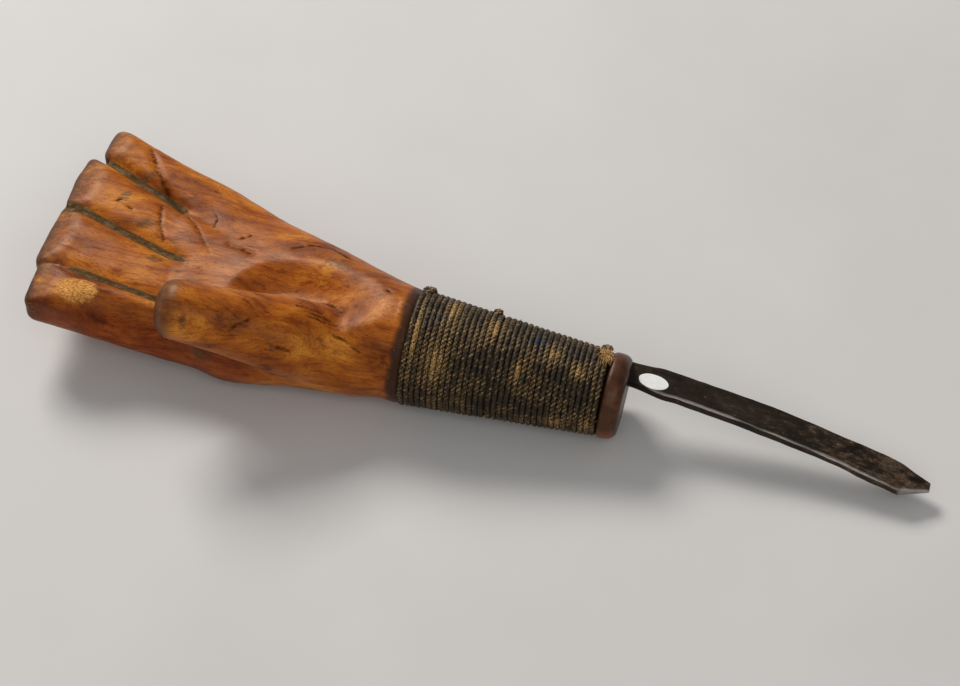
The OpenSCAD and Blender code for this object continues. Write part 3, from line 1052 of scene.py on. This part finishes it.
def hand_ends(p, blotch, break_up):
    """Tips are darker and redder, and the index finger's near side gets painted shade that is also redder.
    """
    tips = p.times(p.mask("tips"), p.step(blotch, 0.28, 0.5))
    stops = [(0.32, (0.028, 0.009, 0.005)), (0.5, (0.1, 0.033, 0.014)), (0.68, (0.26, 0.12, 0.06))]
    p.over(tips, 0.8, p.ramp(break_up, stops))
    ends = p.times(p.mask("ends"), p.step(break_up, 0.26, 0.6))
    p.over(ends, 0.8, (0.03, 0.011, 0.006))
    pared = p.times(p.mask("pared"), p.step(blotch, 0.3, 0.56))
    p.over(pared, 0.85, (0.06, 0.019, 0.004))
    # Painted shade, tinted redder, on the lower near side of the index finger
    p.shade(p.times(p.mask("side_shade"), 0.8), (0.5, 0.26, 0.2))


def hand_wear(p, ragged, break_up):
    """Worn high places are paler, hollows are darkened nearly to black, and grooves hold dirt."""
    worn = p.step(p.times(p.mask("edge"), p.plus(ragged, 0.5)), 0.16, 0.6)
    p.over(worn, 0.45, (0.6, 0.24, 0.04))
    # Concave places are darkened nearly to black
    hollow_dark = p.step(p.times(p.mask("hollow"), p.plus(ragged, 0.6)), 0.06, 0.5)
    p.over(hollow_dark, 0.8, (0.06, 0.02, 0.006))
    grime = p.times(p.step(p.times(p.mask("groove"), p.plus(ragged, 0.6)), 0.2, 0.6), 0.92)
    filler = [(0.3, (0.03, 0.017, 0.007)), (0.5, (0.09, 0.06, 0.028)), (0.7, (0.2, 0.145, 0.075))]
    p.coat(grime, p.ramp(break_up, filler))
    return grime


def hand_marks(p, ragged, fibre, speck):
    """The patch of fresh wood, stains, nicks, and dark lines along the creases and cracks that are partly
    painted shade.
    """
    patch = p.step(p.times(p.mask("patch"), p.plus(ragged, 0.6)), 0.3, 0.75)
    fresh = [(0.35, (0.3, 0.1, 0.02)), (0.55, (0.66, 0.29, 0.06)), (0.72, (0.8, 0.44, 0.13))]
    p.coat(patch, p.ramp(speck, fresh))
    stain = p.step(p.times(p.mask("stain"), p.plus(ragged, 0.3)), 0.28, 0.8)
    stain = p.times(stain, p.step(fibre, 0.36, 0.56))
    p.over(stain, 0.8, (0.05, 0.034, 0.014))
    nick = p.step(p.mask("nick"), 0.25, 0.75)
    # Dark lines along the creases and cracks: partly painted shade in the creases, partly dark cracks in
    # the wood
    crack_and_shade = p.step(p.times(p.mask("crack_and_shade"), p.plus(ragged, 0.35)), 0.25, 1.0)
    dark = p.most(nick, crack_and_shade)
    p.over(dark, 0.75, (0.035, 0.013, 0.005))
    return patch, dark


def collar_wear(p, speck):
    """The collar is darker on its front, and orange below and where it is chipped."""
    p.over(p.mask("low"), 0.6, (0.3, 0.075, 0.012))
    p.over(p.mask("front"), 0.8, (0.028, 0.012, 0.007))
    p.coat(p.step(p.times(p.mask("chip"), speck), 0.2, 0.4), (0.55, 0.2, 0.04))


def wood(name, tone, hand):
    """Fruitwood gone orange-brown with handling."""
    p = Paint(name)
    height, blotch, fibre, speck = grain(p, tone)
    rough = p.spread(blotch, 0.3, 0.5)
    if hand:
        break_up = p.noise((2.2, 1.2, 1.2), 3.0, 0.7)
        ragged = p.spread(break_up, 0.0, 1.0, 0.3, 0.7)
        hand_ends(p, blotch, break_up)
        grime = hand_wear(p, ragged, break_up)
        patch, dark = hand_marks(p, ragged, fibre, speck)
        gloss = p.less(0.26, p.times(p.most(dark, grime), 0.26))
        coarse = p.most(patch, grime)
        rough = p.plus(rough, p.times(coarse, 0.3), clamp=True)
        height = p.plus(height, p.times(p.times(speck, coarse), 2.5))
    else:
        gloss = 0.5
        collar_wear(p, speck)
    smear = p.times(p.noise((3, 1.5, 1.5), 3.0, 0.7), 0.5)
    tar = p.step(p.plus(p.mask("tar"), smear), 0.55, 1.2)
    p.over(tar, 0.92, (0.02, 0.008, 0.005))
    fine = p.bump(height, 0.28, 0.3)
    return p.finish(
        Roughness=rough, Normal=p.bump(blotch, 0.2, 0.7, fine),
        Specular_IOR_Level=gloss, Specular_Tint=(1.0, 0.78, 0.56), IOR=1.5,
    )


TAR_TONES = [(0.34, (0.006, 0.0045, 0.003)), (0.56, (0.017, 0.012, 0.007)), (0.76, (0.055, 0.034, 0.017))]
FIBRE_TONES = [(0.36, (0.15, 0.07, 0.02)), (0.52, (0.42, 0.23, 0.07)), (0.68, (0.78, 0.52, 0.21))]
FRAYED_TONES = [(0.34, (0.12, 0.05, 0.015)), (0.5, (0.5, 0.27, 0.08)), (0.66, (0.8, 0.55, 0.25))]
STEEL_TONES = [(0.32, (0.02, 0.013, 0.009)), (0.55, (0.042, 0.028, 0.018)), (0.75, (0.07, 0.045, 0.026))]
RUST_TONES = [(0.35, (0.06, 0.03, 0.012)), (0.6, (0.14, 0.075, 0.03)), (0.8, (0.22, 0.125, 0.05))]


def tarred_twine(name):
    """Twine black with tar, with brown fibre on the crests of its strands."""
    p = Paint(name)
    along = p.noise((0.5, 0.5, 0.5), 3.0, 0.65)
    patchy = p.noise((6, 4, 4), 3.0, 0.6)
    glint = p.noise((0.34, 0.34, 0.34), 2.0, 0.6)
    chance = p.noise((1.1, 1.1, 1.1), 2.0, 0.7)
    crest = p.mask("crest")
    worn = p.mask("worn")
    p.colour = p.ramp(along, TAR_TONES)
    ridge = p.times(p.step(crest, 0.45, 0.95), p.step(p.mask("outer"), 0.0, 0.75))
    odds = p.plus(p.times(patchy, 0.5), p.times(chance, 0.7))
    odds = p.plus(odds, p.times(worn, 0.42))
    fleck = p.times(ridge, p.step(odds, 0.54, 0.74))
    fleck = p.times(fleck, p.step(glint, 0.34, 0.56))
    bald = p.step(p.plus(p.times(worn, 0.6), p.times(glint, 1.1)), 0.95, 1.1)
    bare = p.most(fleck, p.times(bald, p.step(crest, 0.1, 0.6)))
    fibre = p.ramp(glint, FIBRE_TONES)
    p.over(bare, 0.9, fibre)
    p.over(p.mask("blue"), 0.8, (0.012, 0.02, 0.045))
    return p.finish(
        Roughness=p.spread(patchy, 0.36, 0.66),
        Normal=p.bump(p.plus(along, glint), 0.5, 0.2),
        Specular_IOR_Level=0.34, Specular_Tint=(1.0, 0.9, 0.8),
    )


def frayed_fibre(name):
    """The pale golden fibre where the twine's end has come open."""
    p = Paint(name)
    glint = p.noise((0.4, 0.4, 0.4), 2.0, 0.6)
    p.colour = p.ramp(glint, FRAYED_TONES)
    return p.finish(
        Roughness=p.spread(glint, 0.55, 0.75),
        Normal=p.bump(glint, 0.4, 0.1), Specular_IOR_Level=0.25,
    )


def forged_steel(name):
    """Blackened steel, browner towards the tip, with a painted highlight along the near edge of its top
    and a bright ground facet at the point.
    """
    p = Paint(name)
    axis = p.node("SeparateXYZ", {0: p.node("TexCoord").outputs["Object"]}).outputs[0]
    cloud = p.noise((9, 4, 4), 4.0, 0.6)
    mottle = p.noise((2.6, 1.3, 1.3), 4.0, 0.7)
    brushed = p.noise((8, 0.3, 0.3), 2.0, 0.6)
    pits = p.noise((0.7, 0.7, 0.7), 2.0, 0.6)
    edge_highlight = p.mask("edge_highlight")
    ground = p.mask("ground")
    p.colour = p.ramp(cloud, STEEL_TONES)
    to_tip = p.step(axis, 0.02, 0.08)
    rust = p.plus(p.times(mottle, 0.9), p.times(to_tip, 0.16))
    rust = p.step(p.plus(rust, p.times(cloud, 0.3)), 0.66, 0.9)
    p.over(rust, 0.65, p.ramp(pits, RUST_TONES))
    spots = p.step(p.plus(mottle, p.times(pits, 0.4)), 0.89, 0.96)
    p.over(spots, 0.7, (0.4, 0.14, 0.035))
    # Painted highlight along the near top edge, together with the real bright ground facet at the point
    highlight_and_ground = p.most(p.step(p.plus(edge_highlight, p.times(brushed, 0.3)), 0.5, 0.95), ground)
    p.over(highlight_and_ground, 0.8, (0.42, 0.38, 0.34))
    rough = p.less(p.spread(mottle, 0.34, 0.6, 0.3, 0.7), p.times(highlight_and_ground, 0.1))
    metal = p.less(0.8, p.times(p.most(rust, spots), 0.6), clamp=True)
    height = p.plus(p.times(mottle, 0.8), p.times(brushed, 0.35))
    return p.finish(
        Roughness=rough, Metallic=metal,
        Normal=p.bump(pits, 0.2, 0.25, p.bump(height, 0.35, 0.4)),
    )


def paper(name):
    """Thin white paper, faintly fibrous, with grey smudges."""
    p = Paint(name)
    pulp = p.noise((0.5, 0.5, 0.5), 4.0, 0.7)
    smudge = p.noise((2.4, 1.8, 1.8), 2.0, 0.6)
    p.colour = p.ramp(pulp, [(0.3, (0.8, 0.795, 0.77)), (0.6, (0.88, 0.88, 0.86))])
    p.coat(p.times(p.step(smudge, 0.55, 0.8), 0.18), (0.55, 0.53, 0.5))
    rough = p.spread(pulp, 0.5, 0.7)
    return p.finish(Roughness=rough, Normal=p.bump(pulp, 0.25, 0.08))


def floor_paint(name):
    p = Paint(name)
    mottle = p.noise((90, 90, 90), 3.0, 0.6)
    p.colour = p.ramp(mottle, [(0.3, (0.6, 0.585, 0.57)), (0.7, (0.64, 0.625, 0.61))])
    return p.finish(Roughness=0.75)


# ---- assembly

def fit(piece, material, slot, *nodes):
    piece.data.materials.clear()
    piece.data.materials.append(material)
    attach(piece, "root")
    if nodes:
        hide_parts(*nodes)


HAND_TONES = [(0.2, 0.042, 0.004), (0.42, 0.115, 0.009), (0.63, 0.23, 0.024)]
COLLAR_TONES = [(0.03, 0.008, 0.003), (0.075, 0.019, 0.006), (0.2, 0.055, 0.012)]

fit(make_hand(), wood("carved_fruitwood", HAND_TONES, True), "carved_wood", "handle")
fit(make_collar(), wood("collar_wood", COLLAR_TONES, False), "carved_wood", "handle")

twine = tarred_twine("tarred_twine")
hand_side = make_whipping("twine_hand_side", WRIST_X, SPLIT_X, 4, trail=TWINE_D / 2 - 0.1)
fit(hand_side, twine, "tarred_twine", "whipping_hand_side")
blade_side = make_whipping("twine_blade_side", SPLIT_X, COLLAR_X, 5, lead=TWINE_D / 2 - 0.3)
fit(blade_side, twine, "tarred_twine", "whipping_blade_side")
for key, x, spread, swing in KNOTS:
    fit(make_knot("twine_knot_" + key, x, spread, swing), twine, "tarred_twine")
tuft = make_fibres("frayed_end", TUFT, 150, 2.6, 0.17, 5, 0.9)
fit(tuft, frayed_fibre("frayed_fibre"), "tarred_twine")
fuzz = make_fibres("twine_fuzz", FUZZ, 420, 1.5, 0.055, 8, 0.5)
fit(fuzz, twine, "tarred_twine")

fit(make_blade(), forged_steel("blackened_steel"), "forged_steel", "blade")
fit(make_label(), paper("label_paper"), "paper_label", "label")


# ---- floor, light, camera

def make_floor():
    """The floor is tilted, because the tool rests on its whipping and the back of the hand."""
    tilt = atan((WHIP_HAND_R - COLLAR_R) / WHIP_L)
    size = 4.0
    mesh = bpy.data.meshes.new("floor")
    corners = [(-size, -size, 0), (size, -size, 0), (size, size, 0), (-size, size, 0)]
    mesh.from_pydata(corners, [], [(0, 1, 2, 3)])
    floor = show("floor", mesh)
    floor.location = (WRIST_X * MM, 0, -(WHIP_HAND_R + 0.15) * MM)
    floor.rotation_euler = (0, -tilt, 0)
    mesh.materials.append(floor_paint("pale_floor"))


def add_lamp(name, place, aim, size, watts, colour):
    data = bpy.data.lights.new(name, "AREA")
    data.shape = "RECTANGLE"
    data.size, data.size_y = size
    data.energy = watts
    data.color = colour
    lamp = show(name, data)
    lamp.location = place
    lamp.rotation_mode = "QUATERNION"
    lamp.rotation_quaternion = (Vector(aim) - Vector(place)).to_track_quat("-Z", "Y")


def make_world(strength):
    world = bpy.data.worlds.new("studio")
    world.use_nodes = True
    shade = world.node_tree.nodes["Background"]
    shade.inputs["Color"].default_value = (0.95, 0.97, 1.0, 1)
    shade.inputs["Strength"].default_value = strength
    bpy.context.scene.world = world


def make_camera():
    """A long lens above the thumb's side, rolled a little so that the blade points down."""
    right = Vector((0.96645, 0.24480, 0.07782))
    back = Vector((0.10363, -0.64877, 0.75389)).normalized()
    up = back.cross(right).normalized()
    right = up.cross(back)
    data = bpy.data.cameras.new("camera")
    data.sensor_width = 36
    data.lens = 101.25
    data.clip_start, data.clip_end = 0.05, 20
    camera = show("camera", data)
    place = Vector((35.76, -491.04, 579.14)) * MM
    turn = Matrix((right, up, back)).transposed().to_4x4()
    camera.matrix_world = Matrix.Translation(place) @ turn
    bpy.context.scene.camera = camera


make_floor()
middle = Vector((-0.045, 0.01, 0))
add_lamp("key", (-0.85, 0.75, 0.85), middle, (0.6, 0.45), 16, (1.0, 0.97, 0.93))
add_lamp("fill", (0.2, -0.95, 1.0), middle, (1.4, 1.0), 6, (1.0, 0.98, 0.96))
make_world(0.26)
make_camera()
bpy.context.scene.view_settings.view_transform = "Standard"
